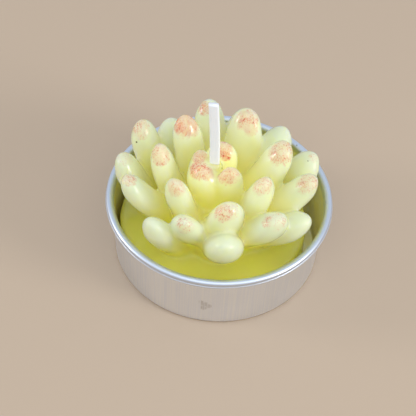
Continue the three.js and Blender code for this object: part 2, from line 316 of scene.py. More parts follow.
def noise(tree, place, scale, detail=2.0, roughness=0.5):
    inputs = {"Vector": place, "Scale": scale, "Detail": detail, "Roughness": roughness}
    return add_node(tree, "ShaderNodeTexNoise", inputs).outputs[0]


def from_noise(tree, value, out_low=0.0, out_high=1.0):
    """The range that a noise mostly keeps to, turned smoothly to out_low to out_high"""
    return ramp(tree, value, 0.3, 0.7, out_low, out_high)


def about_zero(tree, value, reach):
    """A noise's value moved to lie about zero, and scaled"""
    return maths(tree, "MULTIPLY", maths(tree, "SUBTRACT", value, 0.5), reach)


def on_object(tree):
    """Where a place of the surface is on its piece, which every pattern follows"""
    return tree.nodes.new("ShaderNodeTexCoord").outputs["Object"]


def squeezed(tree, place, height_scale):
    """Places with their height scaled, so that a pattern is drawn out upwards"""
    inputs = {0: place, "Scale": (1.0, 1.0, height_scale)}
    return add_node(tree, "ShaderNodeMapping", inputs).outputs[0]


def stored(tree, name):
    """A number that the mesh keeps for each of its vertices"""
    return add_node(tree, "ShaderNodeAttribute", attribute_name=name).outputs["Fac"]


def bumped(tree, height, strength, distance):
    inputs = {"Height": height, "Strength": strength, "Distance": distance}
    return add_node(tree, "ShaderNodeBump", inputs).outputs[0]


def open_group(name, inputs, outputs, kind="ShaderNodeTree"):
    """A node group with named sockets, and its input and output nodes

    A socket's kind follows from its default value. One without a default value
    has its kind named instead.
    """
    kinds = {float: "NodeSocketFloat", tuple: "NodeSocketVector"}
    tree = bpy.data.node_groups.new(name, kind)
    for way, sockets in (("INPUT", inputs), ("OUTPUT", outputs)):
        for label, value in sockets.items():
            socket = kinds.get(type(value), value)
            item = tree.interface.new_socket(label, in_out=way, socket_type=socket)
            if socket != value:
                item.default_value = value
    return tree, tree.nodes.new("NodeGroupInput"), tree.nodes.new("NodeGroupOutput")


def place_group(tree, group, inputs):
    """The outputs of a group placed in a material with its own values"""
    node = add_node(tree, "ShaderNodeGroup", node_tree=group)
    feed(tree, node, inputs)
    return node.outputs


def new_material(name):
    """A material with an empty tree but its shader, and the shader's node"""
    material = bpy.data.materials.new(name)
    material.use_nodes = True
    tree = material.node_tree
    return material, tree, tree.nodes["Principled BSDF"]


def add_object(name, data):
    """A mesh, a lamp or a camera put in the scene"""
    added = bpy.data.objects.new(name, data)
    bpy.context.scene.collection.objects.link(added)
    return added


def new_object(name, vertices, faces, smooth=True):
    mesh = bpy.data.meshes.new(name)
    mesh.from_pydata([tuple(v) for v in vertices], [], faces)
    mesh.polygons.foreach_set("use_smooth", [smooth] * len(mesh.polygons))
    return add_object(name, mesh)


def evaluated_mesh(piece):
    """The mesh that a piece's modifiers make of it"""
    bpy.context.view_layer.update()
    depsgraph = bpy.context.evaluated_depsgraph_get()
    return bpy.data.meshes.new_from_object(piece.evaluated_get(depsgraph))


def bake_modifiers(piece):
    mesh = evaluated_mesh(piece)
    piece.modifiers.clear()
    piece.data = mesh


def recalculate_normals(piece, merge=0.0):
    edit = bmesh.new()
    edit.from_mesh(piece.data)
    if merge:
        bmesh.ops.remove_doubles(edit, verts=edit.verts, dist=merge)
    bmesh.ops.recalc_face_normals(edit, faces=edit.faces)
    edit.to_mesh(piece.data)
    edit.free()


def arc(centre, radius, start, end, steps):
    """Points of an arc in a profile, from one angle to another in degrees"""
    angles = np.radians(np.linspace(start, end, steps + 1))
    return [(centre[0] + radius * math.cos(a), centre[1] + radius * math.sin(a)) for a in angles]


def between(start, end, steps):
    """Evenly spaced values from start to end, without these two"""
    return np.linspace(start, end, steps + 1)[1:-1]


def fade(values, start, end):
    """0 up to start and 1 from end on, and even steps between"""
    return np.clip((values - start) / (end - start), 0, 1)


def lathe(profile, sides, centre_x=0.0, closed=False):
    """Vertices and faces of a profile of (radius, height) turned about the vertical"""
    on_axis = 1e-9
    vertices, rows = [], []
    for radius, height in profile:
        count = 1 if radius < on_axis else sides
        rows.append([len(vertices) + i % count for i in range(sides)])
        for i in range(count):
            angle = 2 * math.pi * i / sides
            x, y = radius * math.cos(angle), radius * math.sin(angle)
            vertices.append((centre_x + x, y, height))
    faces = []
    pairs = list(zip(rows, rows[1:] + rows[:1]))
    for lower, upper in pairs if closed else pairs[:-1]:
        for i in range(sides):
            j = (i + 1) % sides
            corners = [lower[i], lower[j], upper[j], upper[i]]
            faces.append(list(dict.fromkeys(corners)))
    return vertices, [face for face in faces if len(face) > 2]


def sheet_profile(line, thickness):
    """The closed outline of a sheet of even thickness along a centre line"""
    line = np.array(line)
    along = np.gradient(line, axis=0)
    along /= np.linalg.norm(along, axis=1)[:, None]
    aside = np.stack([-along[:, 1], along[:, 0]], axis=1) * thickness / 2
    aside[0, 0] = 0.0  # keeps the first point at its radius
    return [tuple(p) for p in line - aside] + [tuple(p) for p in (line + aside)[::-1]]


def read(items, name, width, kind=float):
    """A property of all vertices or edges of a mesh, a row for each"""
    values = np.zeros(len(items) * width, kind)
    items.foreach_get(name, values)
    return values.reshape(-1, width)


def points_of(mesh):
    return read(mesh.vertices, "co", 3)


def set_points(mesh, places):
    mesh.vertices.foreach_set("co", places.reshape(-1))
    mesh.update()


def normals_of(mesh):
    return read(mesh.vertex_normals, "vector", 3, np.float32).astype(float)


def store(mesh, name, values):
    attribute = mesh.attributes.new(name, "FLOAT", "POINT")
    attribute.data.foreach_set("value", np.asarray(values, np.float32))


def neighbour_mean(values, edges, counts):
    """For each vertex, the mean over the vertices that an edge joins to it"""
    total = np.zeros_like(values)
    for axis in range(values.shape[1]):
        ends = np.concatenate([values[edges[:, 1], axis], values[edges[:, 0], axis]])
        starts = np.concatenate([edges[:, 0], edges[:, 1]])
        total[:, axis] = np.bincount(starts, ends, len(values))
    return total / counts[:, None]


def edges_of(mesh):
    """The vertices that each edge joins, and how many edges each vertex has"""
    edges = read(mesh.edges, "vertices", 2, int)
    counts = np.bincount(edges.reshape(-1), minlength=len(mesh.vertices))
    return edges, np.maximum(counts, 1)


# Camera

def add_camera():
    """The photograph's view, fitted to the rim, the skirt and the foot of the cup"""
    distance = 0.3
    elevation = 0.8719
    turn = -0.0092
    tilt = -0.0199
    roll = 0.0678
    lens = 150.6
    look_down = elevation + tilt
    forward = Vector((
        math.sin(turn) * math.cos(look_down),
        math.cos(turn) * math.cos(look_down),
        -math.sin(look_down),
    ))
    level = Vector((math.cos(turn), -math.sin(turn), 0))
    upright = level.cross(forward)
    right = math.cos(roll) * level + math.sin(roll) * upright
    up = math.cos(roll) * upright - math.sin(roll) * level
    camera = add_object("camera", bpy.data.cameras.new("camera"))
    camera.data.lens = lens
    camera.data.clip_start = 0.01
    turned = Matrix((right, up, -forward)).transposed().to_4x4()
    place = Vector((0, -distance * math.cos(elevation), distance * math.sin(elevation)))
    camera.matrix_world = Matrix.Translation(place) @ turned
    bpy.context.scene.camera = camera


# Lights and floor

def add_softbox(name, azimuth, elevation, distance, width, height, power):
    """A soft lamp that faces the candle and isn't seen itself"""
    target = Vector((0, 0, 0.015))
    azimuth = math.radians(azimuth)
    elevation = math.radians(elevation)
    towards = Vector((
        math.sin(azimuth) * math.cos(elevation),
        -math.cos(azimuth) * math.cos(elevation),
        math.sin(elevation),
    ))
    lamp = bpy.data.lights.new(name, "AREA")
    lamp.shape = "RECTANGLE"
    lamp.size = width
    lamp.size_y = height
    lamp.energy = power
    holder = add_object(name, lamp)
    holder.visible_camera = False
    holder.location = target + towards * distance
    holder.rotation_euler = towards.to_track_quat("Z", "Y").to_euler()


def add_world():
    """A pale backdrop, and soft light that comes most from above"""
    light, backdrop = linear(234, 241, 255), linear(214, 223, 234)
    lowest, highest = 0.3, 1.0
    world = bpy.data.worlds.new("studio")
    world.use_nodes = True
    tree = world.node_tree
    rays = tree.nodes.new("ShaderNodeLightPath").outputs
    seen = maths(tree, "MAXIMUM", rays["Is Camera Ray"], rays["Is Glossy Ray"])
    seen = maths(tree, "MAXIMUM", seen, rays["Is Transmission Ray"])
    upwards = height_of(tree, tree.nodes.new("ShaderNodeTexCoord").outputs["Generated"])
    inputs = {0: upwards, 3: lowest, 4: highest}
    brightness = add_node(tree, "ShaderNodeMapRange", inputs).outputs[0]
    brightness = add_node(tree, "ShaderNodeMix", {0: seen, 2: brightness, 3: highest}).outputs[0]
    colour = mixed(tree, seen, light, backdrop)
    feed(tree, tree.nodes["Background"], {"Color": colour, "Strength": brightness})
    bpy.context.scene.world = world


def add_floor():
    half = 0.9
    corners = [(-half, -half, 0), (half, -half, 0), (half, half, 0), (-half, half, 0)]
    floor = new_object("floor", corners, [(0, 1, 2, 3)], smooth=False)
    material, tree, shader = new_material("pale_floor")
    feed(tree, shader, {
        "Base Color": linear(192, 172, 149), "Roughness": 0.9, "Specular IOR Level": 0.2,
    })
    floor.data.materials.append(material)


# Materials

def fleck_group():
    """A mask of one small round fleck at a place on the object, ragged by noise"""
    inputs = {"Centre": (0.0, 0.0, 0.0), "Radius": 0.0003}
    tree, given, result = open_group("fleck", inputs, {"Mask": 0.0})
    full_share, last_share = 1.1, 1.7
    radius = given.outputs["Radius"]
    place = on_object(tree)
    apart = vectors(tree, "LENGTH", vectors(tree, "SUBTRACT", place, given.outputs["Centre"]))
    ragged = maths(tree, "MULTIPLY", noise(tree, place, scale=5200.0), radius)
    reach = maths(tree, "ADD", apart, ragged)
    full = maths(tree, "MULTIPLY", radius, full_share)
    last = maths(tree, "MULTIPLY", radius, last_share)
    feed(tree, result, {"Mask": ramp(tree, reach, last, full)})
    return tree


def flecks(tree, fleck, marks):
    """One mask of several flecks, each given as its centre and its radius"""
    total = None
    for centre, radius in marks:
        mask = place_group(tree, fleck, {"Centre": centre, "Radius": radius})["Mask"]
        total = mask if total is None else maths(tree, "MAXIMUM", total, mask)
    return total


def drawn_lines_group():
    """Fine lines up a drawn wall, and soft patches, from the turn about +Z"""
    inputs = {"Lines": 60.0, "Height Scale": 60.0}
    tree, given, result = open_group("drawn_lines", inputs, {"Line": 0.0, "Patch": 0.0})
    place = on_object(tree)
    x, y, height = add_node(tree, "ShaderNodeSeparateXYZ", {0: place}).outputs
    angle = maths(tree, "ARCTAN2", y, x)
    unrolled = add_node(tree, "ShaderNodeCombineXYZ", {
        0: maths(tree, "MULTIPLY", maths(tree, "COSINE", angle), given.outputs["Lines"]),
        1: maths(tree, "MULTIPLY", maths(tree, "SINE", angle), given.outputs["Lines"]),
        2: maths(tree, "MULTIPLY", height, given.outputs["Height Scale"]),
    }).outputs[0]
    feed(tree, result, {
        "Line": noise(tree, unrolled, scale=1.0, detail=4.0, roughness=0.6),
        "Patch": noise(tree, place, scale=220.0, detail=3.0, roughness=0.55),
    })
    return tree


def aluminium_material(drawn_lines, fleck):
    """Thin drawn aluminium: a satin wall, a duller rim, a film inside that is partly wax and
    partly painted reflection
    """
    dull, bright, rim = linear(235, 242, 254), linear(244, 249, 255), linear(214, 222, 234)
    # The film colour is partly a wax film and partly painted reflection of the yellow wax.
    wax_film_and_reflection, scuff, dirt = linear(250, 240, 134), linear(160, 160, 161), linear(74, 66, 40)
    roughness, wall_roughness = (0.42, 0.47), -0.12
    film_and_reflection_cover, film_and_reflection_dulling = (0.35, 0.85), -0.85
    scuff_lines, scuff_cover = (0.4, 0.6), (0.0, 0.45)
    line_relief, nick_relief = 0.5, 0.8
    material, tree, shader = new_material("drawn_aluminium")
    height = height_of(tree, on_object(tree))
    lines = place_group(tree, drawn_lines, {"Lines": 60.0, "Height Scale": 60.0})
    line, patch = lines["Line"], lines["Patch"]
    wall = ramp(tree, height, *satin_wall_fade)
    colour = mixed(tree, from_noise(tree, line), dull, bright)
    colour = mixed(tree, wall, rim, colour)
    # Painted reflection: where the film lies, the wall turns partly diffuse yellow for the wax's
    # light that it reflects.
    film_and_reflection_mask = maths(tree, "MULTIPLY", stored(tree, "inner"), ramp(tree, height, *film_and_reflection_fade))
    film_and_reflection_mask = maths(tree, "MULTIPLY", film_and_reflection_mask, from_noise(tree, patch, *film_and_reflection_cover))
    colour = mixed(tree, film_and_reflection_mask, colour, wax_film_and_reflection)
    scuffed = flecks(tree, fleck, scuff_marks)
    cover = ramp(tree, line, *scuff_lines, *scuff_cover)
    scuffed = maths(tree, "MULTIPLY", scuffed, cover)
    colour = mixed(tree, scuffed, colour, scuff)
    colour = mixed(tree, flecks(tree, fleck, cup_dirt), colour, dirt)
    relief = maths(tree, "MULTIPLY", maths(tree, "MULTIPLY", line, wall), line_relief)
    nick = maths(tree, "MULTIPLY", flecks(tree, fleck, wall_nick), nick_relief)
    relief = maths(tree, "SUBTRACT", relief, nick)
    rough = from_noise(tree, patch, *roughness)
    feed(tree, shader, {
        "Base Color": colour,
        "Roughness": maths(tree, "MULTIPLY_ADD", wall, wall_roughness, rough),
        "Metallic": maths(tree, "MULTIPLY_ADD", film_and_reflection_mask, film_and_reflection_dulling, 1.0),
        "Normal": bumped(tree, relief, strength=0.25, distance=0.00005),
    })
    return material


def dabbed_paint_group():
    """Thin pink paint dabbed on wax: a soft wash, fine specks, and a few dark ones"""
    inputs = {"Cover": 0.0, "Wash": 1.0, "Specks": 1.0}
    outputs = {"Wash": 0.0, "Speck": 0.0, "Dark Speck": 0.0}
    tree, given, result = open_group("dabbed_paint", inputs, outputs)
    raggedness, clumping, shift = 0.75, 0.5, (0.31, 0.17, 0.05)
    wash_edge, cloudiness = (0.24, 0.8), (0.7, 1.15)
    place = on_object(tree)
    drawn = squeezed(tree, place, height_scale=0.6)
    elsewhere = vectors(tree, "ADD", drawn, shift)
    ragged = about_zero(tree, noise(tree, place, scale=1300.0, detail=3.0), raggedness)
    edge = maths(tree, "ADD", given.outputs["Cover"], ragged)
    clouds = noise(tree, drawn, scale=1200.0, detail=3.0, roughness=0.6)
    cloudy = from_noise(tree, clouds, *cloudiness)
    wash = maths(tree, "MULTIPLY", ramp(tree, edge, *wash_edge), cloudy)
    clump = about_zero(tree, noise(tree, place, scale=620.0, detail=1.0), clumping)

    def specks(grain, share, level, inside):
        """Where grain, clumps and a share of Specks pass a level, inside the edge"""
        load = maths(tree, "ADD", grain, clump)
        more = maths(tree, "MULTIPLY", given.outputs["Specks"], share)
        load = ramp(tree, maths(tree, "ADD", load, more), *level)
        return maths(tree, "MULTIPLY", load, ramp(tree, edge, *inside))

    fine = noise(tree, drawn, scale=4300.0, roughness=0.6)
    coarse = noise(tree, elsewhere, scale=3000.0, roughness=0.55)
    feed(tree, result, {
        "Wash": maths(tree, "MULTIPLY", wash, given.outputs["Wash"]),
        "Speck": specks(fine, share=0.14, level=(0.57, 0.8), inside=(0.25, 0.6)),
        "Dark Speck": specks(coarse, share=0.1, level=(0.72, 0.82), inside=(0.5, 0.9)),
    })
    return tree


def wax_material(fleck, dabbed_paint):
    """Translucent moulded wax dabbed pink; its yellow roots and pale tips are painted light"""
    # Painted light: the colours run from yellow roots to pale tips, for light through thick and
    # thin wax.
    leaf_colours_with_painted_light = [
        (0.05, linear(250, 244, 122)), (0.35, linear(247, 240, 164)),
        (0.68, linear(231, 233, 193)), (0.95, linear(212, 222, 190)),
    ]
    foot, pink, dirt = linear(255, 241, 114), linear(220, 152, 132), linear(70, 62, 30)
    white, stain = (1.0, 1.0, 1.0, 1.0), (0.95, 0.44, 0.46, 1.0)
    dark_stain = (0.78, 0.24, 0.24, 1.0)
    drift, roughness, wash_roughness, speck_relief = 0.12, (0.1, 0.14), 0.04, 0.2
    material, tree, shader = new_material("lime_wax")
    place = on_object(tree)

    def stained(colour, mask, share, stain):
        """colour with a thin stain over it, for a share of what the mask says"""
        through = mixed(tree, maths(tree, "MULTIPLY", mask, share), white, stain)
        return mixed(tree, 1.0, colour, through, "MULTIPLY")

    cloud = noise(tree, place, scale=260.0)
    tip = maths(tree, "ADD", stored(tree, "tip_share"), about_zero(tree, cloud, drift))
    # Painted light: yellow at the roots, pale at the tips.
    colours = add_node(tree, "ShaderNodeValToRGB", {0: tip})
    steps = colours.color_ramp.elements
    while len(steps) < len(leaf_colours_with_painted_light):
        steps.new(1.0)
    for step, (position, colour) in zip(steps, leaf_colours_with_painted_light):
        step.position, step.color = position, colour
    colour = mixed(tree, stored(tree, "foot_share"), colours.outputs[0], foot)
    paint = place_group(tree, dabbed_paint, {
        "Cover": stored(tree, "paint_cover"), "Wash": stored(tree, "paint_wash"),
        "Specks": stored(tree, "paint_specks"),
    })
    wash, speck = paint["Wash"], paint["Speck"]
    colour = mixed(tree, wash, colour, pink)
    colour = stained(colour, speck, share=0.68, stain=stain)
    colour = stained(colour, paint["Dark Speck"], share=0.9, stain=dark_stain)
    colour = mixed(tree, flecks(tree, fleck, wax_dirt), colour, dirt)
    rough = from_noise(tree, cloud, *roughness)
    lumps = noise(tree, place, scale=500.0)
    height = maths(tree, "ADD", lumps, maths(tree, "MULTIPLY", speck, speck_relief))
    feed(tree, shader, {
        "Base Color": colour,
        "Roughness": maths(tree, "MULTIPLY_ADD", wash, wash_roughness, rough),
        "Normal": bumped(tree, height, strength=0.12, distance=0.0001),
        "Subsurface Weight": 1.0, "Subsurface Radius": (1.0, 0.9, 0.35),
        "Subsurface Scale": 0.007, "IOR": 1.44,
    })
    return material


def cotton_material():
    """Primed cotton: white, faintly blue, and stained with wax at its root"""
    shade, light, wet = linear(244, 250, 255), linear(250, 253, 255), linear(236, 236, 200)
    roughness, unevenness = (0.75, 0.6), 0.0006
    material, tree, shader = new_material("primed_cotton")
    place = on_object(tree)
    drawn = squeezed(tree, place, height_scale=0.18)
    strands = noise(tree, drawn, scale=5200.0, detail=3.0)
    colour = mixed(tree, from_noise(tree, strands), shade, light)
    uneven = maths(tree, "MULTIPLY", noise(tree, place, scale=900.0), unevenness)
    line = maths(tree, "ADD", height_of(tree, place), uneven)
    colour = mixed(tree, ramp(tree, line, *wet_wick_fade), colour, wet)
    feed(tree, shader, {
        "Base Color": colour,
        "Roughness": from_noise(tree, strands, *roughness),
        "Normal": bumped(tree, strands, strength=0.4, distance=0.00004),
        "Subsurface Weight": 0.3, "Subsurface Radius": (1.0, 1.0, 1.0),
        "Subsurface Scale": 0.0004,
    })
    return material


def tinplate_material(drawn_lines):
    """Pressed tinplate: grey, with faint lines and patches"""
    dull, bright = linear(168, 166, 162), linear(206, 205, 202)
    roughness = (0.3, 0.42)
    material, tree, shader = new_material("pressed_tinplate")
    lines = place_group(tree, drawn_lines, {"Lines": 20.0, "Height Scale": 900.0})
    feed(tree, shader, {
        "Base Color": mixed(tree, lines["Patch"], dull, bright),
        "Roughness": from_noise(tree, lines["Line"], *roughness),
        "Metallic": 1.0,
        "Normal": bumped(tree, lines["Line"], strength=0.2, distance=0.00003),
    })
    return material


# The cup

def cup_line():
    """The centre line of the cup's sheet, from the middle of the floor to the hem"""
    half = sheet / 2
    base_radius = rim_radius - rim_overhang - wall_taper
    wall_lean = math.degrees(math.atan2(wall_taper, cup_height))
    turn = math.radians(hem_turn)
    edge = math.radians(hem_turn * (1 - 1 / (2 * hem_steps)))
    skirt = rim_radius - hem_radius * (1 - math.cos(turn)) - half * math.cos(edge)
    roll = rim_roll - half
    crest = skirt - roll
    flare = crest - (rim_radius - rim_overhang - half)
    line = [(x, half) for x in np.linspace(0, bead_radius - bead_width, num=6)]
    for share in between(-1, 1, steps=24):
        rise = bead_height * math.cos(share * math.pi / 2) ** 2
        line.append((bead_radius + share * bead_width, half + rise))
    line.append((bead_radius + bead_width, half))
    corner = (base_radius - half - corner_radius, half + corner_radius)
    line += arc(corner, corner_radius, -90, -wall_lean, steps=10)
    bend = arc((crest, cup_height - half - flare), flare, 180 - wall_lean, 90, steps=16)
    wall_foot, wall_top = Vector(line[-1]), Vector(bend[0])
    line += [tuple(wall_foot.lerp(wall_top, share)) for share in between(0, 1, steps=25)]
    line += bend
    line += arc((crest, cup_height - rim_roll), roll, 90, 0, steps=12)[1:]
    hem_height = cup_height - skirt_depth + hem_radius * math.sin(turn)
    line += [(skirt, z) for z in between(cup_height - rim_roll, hem_height, steps=3)]
    line += arc((skirt + hem_radius, hem_height), hem_radius, 180, 180 + hem_turn, hem_steps)
    return line


def ripples(angle, waves):
    """Waves round the cup, added up and brought to between -1 and 1"""
    total = sum(share * np.sin(count * angle + start) for count, start, share in waves)
    return total / sum(share for _, _, share in waves)


def make_cup(material):
    """The drawn cup, with the small unevenness of thin sheet"""
    vertices, faces = lathe(sheet_profile(cup_line(), sheet), cup_sides)
    cup = new_object("cup", vertices, faces)
    recalculate_normals(cup)
    places = points_of(cup.data)
    radius = np.hypot(places[:, 0], places[:, 1])
    angle = np.arctan2(places[:, 1], places[:, 0])
    height = places[:, 2]
    inwards = wall_dent * (1 + ripples(angle, wall_waves)) * fade(radius, *dent_radius_fade)
    for start, end in dent_fades:
        inwards = inwards * fade(height, start, end)
    hem_top = cup_height - skirt_depth + hem_radius
    hem = fade(height, hem_top, hem_top - hem_radius) * (radius > rim_radius - skirt_reach)
    hem = hem * np.clip(np.cos(angle + hem_worst_turn) + 0.5, hem_least_share, 1)
    crimp = ripples(angle, hem_waves)
    inwards += hem_dent * hem * (1 + crimp)
    places[:, 0] -= np.cos(angle) * inwards
    places[:, 1] -= np.sin(angle) * inwards
    places[:, 2] += hem_rise * hem * crimp
    set_points(cup.data, places)
    inner = (np.arange(len(places)) >= len(places) // 2) & (radius < rim_radius - inside_reach)
    store(cup.data, "inner", inner)
    cup.data.materials.append(material)
    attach(cup, "cup")
    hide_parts("tealight_cup")


# The wax

def out_from_axis(turn, distance):
    """The place at a turn from the front, in degrees, and a distance from the axis"""
    angle = math.radians(turn)
    return np.array([candle_shift + distance * math.sin(angle), -distance * math.cos(angle), 0])


def all_leaves():
    """Each leaf's root, tip, width, depth, painted paleness and paint"""
    leaves = []
    for ring in rings:
        step = 360 / len(ring["leaf_shares"])
        for i, (turn, reach, rise, root_reach, width, twist) in enumerate(ring["leaf_shares"]):
            tip_turn = ring["start"] + step * (i + turn)
            tip = out_from_axis(tip_turn, ring["reach"] * reach)
            tip[2] = foot_top + ring["tip_rise"] * rise
            root = out_from_axis(tip_turn + step * twist, ring["root_reach"] * root_reach)
            root[2] = foot_top + ring["root_rise"]
            leaves.append({
                "root": root, "tip": tip, "width": ring["width"] * width,
                "depth": ring["depth"], "paleness_with_painted_light": ring["paleness_with_painted_light"], "paint": ring["paint"][i],
            })
    return leaves


def rosette_tree():
    """A node tree that casts the candle: one skin round all leaves, mound and foot

    Each point that it is given is a leaf, with its root, tip, width and depth. A
    repeat zone goes through the leaves. It adds up how deep each place of a
    volume lies in them, so that they run into one another with soft creases, and
    the skin is where that sum says wax ends.
    """
    tree, given, result = open_group("cast_rosette", {
        "Leaves": "NodeSocketGeometry", "Material": "NodeSocketMaterial", **casting,
    }, {"Geometry": "NodeSocketGeometry"}, "GeometryNodeTree")
    sizes = given.outputs
    place = tree.nodes.new("GeometryNodeInputPosition").outputs[0]
    height = height_of(tree, place)
    add, less, times, over, larger, smaller = (
        partial(maths, tree, operation)
        for operation in ("ADD", "SUBTRACT", "MULTIPLY", "DIVIDE", "MAXIMUM", "MINIMUM")
    )
    rise = less(height, sizes["Foot Top"])
    softening = add_node(tree, "ShaderNodeMapRange", {
        0: rise, 1: sizes["Crease Rise"], 2: sizes["Collar Height"],
        3: sizes["Low Crease"], 4: sizes["High Crease"],
    }).outputs[0]
    highest_power, least_sum, background, level = 12.0, 1e-9, -5.0, (1, 1, 0)

    def depth_of(gap):
        """A large number inside wax and a small one outside, 1 at its skin"""
        power = smaller(over(times(gap, -1.0), softening), highest_power)
        return maths(tree, "EXPONENT", power)

    # The leaves, one in each turn of the zone
    count = add_node(
        tree, "GeometryNodeAttributeDomainSize", {0: sizes["Leaves"]}, component="MESH"
    ).outputs["Point Count"]
    start = tree.nodes.new("GeometryNodeRepeatInput")
    end = tree.nodes.new("GeometryNodeRepeatOutput")
    start.pair_with_output(end)
    end.repeat_items.clear()
    end.repeat_items.new("FLOAT", "Sum")
    feed(tree, start, {"Iterations": count, "Sum": 0.0})

    def of_leaf(name, kind):
        named = add_node(tree, "GeometryNodeInputNamedAttribute", {"Name": name}, data_type=kind)
        return add_node(tree, "GeometryNodeSampleIndex", {
            "Geometry": sizes["Leaves"], "Value": named.outputs["Attribute"],
            "Index": start.outputs["Iteration"],
        }, data_type=kind, domain="POINT").outputs[0]

    root, tip = of_leaf("root", "FLOAT_VECTOR"), of_leaf("tip", "FLOAT_VECTOR")
    span = vectors(tree, "SUBTRACT", tip, root)
    length = vectors(tree, "LENGTH", span)
    along = vectors(tree, "NORMALIZE", span)
    aside = vectors(tree, "NORMALIZE", vectors(tree, "CROSS_PRODUCT", (0, 0, 1), along))
    under = vectors(tree, "CROSS_PRODUCT", aside, along)
    offset = vectors(tree, "SUBTRACT", place, root)
    risen = vectors(tree, "DOT_PRODUCT", offset, along)
    share = add_node(tree, "ShaderNodeClamp", {0: over(risen, length)}).outputs[0]
    sag = times(maths(tree, "SINE", times(share, math.pi)), sizes["Bow"])
    down = over(less(vectors(tree, "DOT_PRODUCT", offset, under), sag), sizes["Thickness Share"])
    side = vectors(tree, "DOT_PRODUCT", offset, aside)
    reach = maths(tree, "SQRT", add(times(side, side), times(down, down)))
    swell = smaller(over(share, sizes["Widest Share"]), 1.0)
    swell = maths(tree, "SINE", times(swell, math.pi / 2))
    root_width = sizes["Root Width Share"]
    lower = add(root_width, times(less(1.0, root_width), swell))
    ending = larger(less(share, sizes["Widest Share"]), 0.0)
    ending = over(ending, less(1.0, sizes["Widest Share"]))
    upper = larger(less(1.0, maths(tree, "POWER", ending, sizes["Fullness"])), 0.0)
    upper = maths(tree, "POWER", upper, sizes["Rounding"])
    half_width = times(of_leaf("width", "FLOAT"), 0.5)
    past = larger(less(risen, length), 0.0)
    short = larger(less(times(risen, -1.0), of_leaf("depth", "FLOAT")), 0.0)
    gap = add(less(reach, times(half_width, times(lower, upper))), add(past, short))
    feed(tree, end, {"Sum": add(start.outputs["Sum"], depth_of(gap))})

    # The foot, the mound and the wax that climbs the wick
    flat = vectors(tree, "MULTIPLY", vectors(tree, "SUBTRACT", place, sizes["Axis"]), level)
    middle = times(add(sizes["Foot Top"], sizes["Foot Bottom"]), 0.5)
    upwards = maths(tree, "GREATER_THAN", height, middle)
    edge = add(
        times(upwards, sizes["Foot Edge"]), times(less(1.0, upwards), sizes["Foot Under Edge"])
    )
    outwards = add(less(vectors(tree, "LENGTH", flat), sizes["Foot Radius"]), edge)
    half_height = times(less(sizes["Foot Top"], sizes["Foot Bottom"]), 0.5)
    endwards = add(less(maths(tree, "ABSOLUTE", less(height, middle)), half_height), edge)
    corner_x, corner_z = larger(outwards, 0.0), larger(endwards, 0.0)
    corner = maths(tree, "SQRT", add(times(corner_x, corner_x), times(corner_z, corner_z)))
    foot = less(add(corner, smaller(larger(outwards, endwards), 0.0)), edge)
    mound_place = add_node(tree, "ShaderNodeCombineXYZ", {2: over(rise, sizes["Mound Height"])})
    mound_flat = add_node(tree, "ShaderNodeVectorMath", {
        0: flat, "Scale": over(1.0, sizes["Mound Radius"]),
    }, operation="SCALE").outputs[0]
    mound = vectors(tree, "LENGTH", vectors(tree, "ADD", mound_flat, mound_place.outputs[0]))
    mound = times(less(mound, 1.0), sizes["Mound Height"])
    mound = larger(mound, less(times(rise, -1.0), sizes["Mound Depth"]))
    at_wick = vectors(tree, "SUBTRACT", place, sizes["Wick Place"])
    at_wick = vectors(tree, "LENGTH", vectors(tree, "MULTIPLY", at_wick, level))
    collar_line = less(sizes["Collar Radius"], times(
        less(rise, over(sizes["Collar Height"], 2.0)), sizes["Collar Slope"]
    ))
    collar = larger(less(at_wick, collar_line), less(rise, sizes["Collar Height"]))
    collar = larger(collar, times(rise, -1.0))
    total = add(end.outputs["Sum"], add(depth_of(foot), add(depth_of(mound), depth_of(collar))))
    inside = times(maths(tree, "LOGARITHM", larger(total, least_sum), math.e), softening)

    extent = vectors(tree, "SUBTRACT", sizes["High Corner"], sizes["Low Corner"])
    cell = add_node(tree, "ShaderNodeCombineXYZ", {axis: sizes["Voxel"] for axis in range(3)})
    steps = vectors(tree, "DIVIDE", extent, cell.outputs[0])
    steps = add_node(tree, "ShaderNodeSeparateXYZ", {0: steps}).outputs
    skin = add_node(tree, "GeometryNodeVolumeCube", {
        "Density": over(inside, sizes["Voxel"]), "Background": background,
        "Min": sizes["Low Corner"], "Max": sizes["High Corner"],
        "Resolution X": steps[0], "Resolution Y": steps[1], "Resolution Z": steps[2],
    }).outputs[0]
    for kind, key, more in (
        ("GeometryNodeVolumeToMesh", "Volume", {"Threshold": 0.0}),
        ("GeometryNodeSetShadeSmooth", "Geometry", {}),
        ("GeometryNodeRealizeInstances", "Geometry", {}),
        ("GeometryNodeSetMaterial", "Geometry", {"Material": sizes["Material"]}),
    ):
        skin = add_node(tree, kind, {key: skin, **more}).outputs[0]
    feed(tree, result, {"Geometry": skin})
    return tree


def cast_rosette(leaves, material):
    """The casting's mesh, made by the node tree from one point for each leaf"""
    seeds = new_object("leaf_seeds", [leaf["root"] for leaf in leaves], [])
    for name in ("root", "tip"):
        attribute = seeds.data.attributes.new(name, "FLOAT_VECTOR", "POINT")
        values = np.array([leaf[name] for leaf in leaves], np.float32)
        attribute.data.foreach_set("vector", values.reshape(-1))
    for name in ("width", "depth"):
        store(seeds.data, name, [leaf[name] for leaf in leaves])
    caster = seeds.modifiers.new("cast", "NODES")
    caster.node_group = rosette_tree()
    settings = {"Material": material, **casting}
    for item in caster.node_group.interface.items_tree:
        if item.in_out == "INPUT" and item.name in settings:
            caster[item.identifier] = settings[item.name]
    mesh = evaluated_mesh(seeds)
    bpy.data.objects.remove(seeds)
    return mesh


def leaf_shape(share):
    """Half the leaf's width at a share of its length, as a share of the widest"""
    swell = np.sin(fade(share, 0, widest_share) * math.pi / 2)
    end = fade(share, widest_share, 1)
    return (root_width_share + (1 - root_width_share) * swell) * (1 - end ** fullness) ** rounding


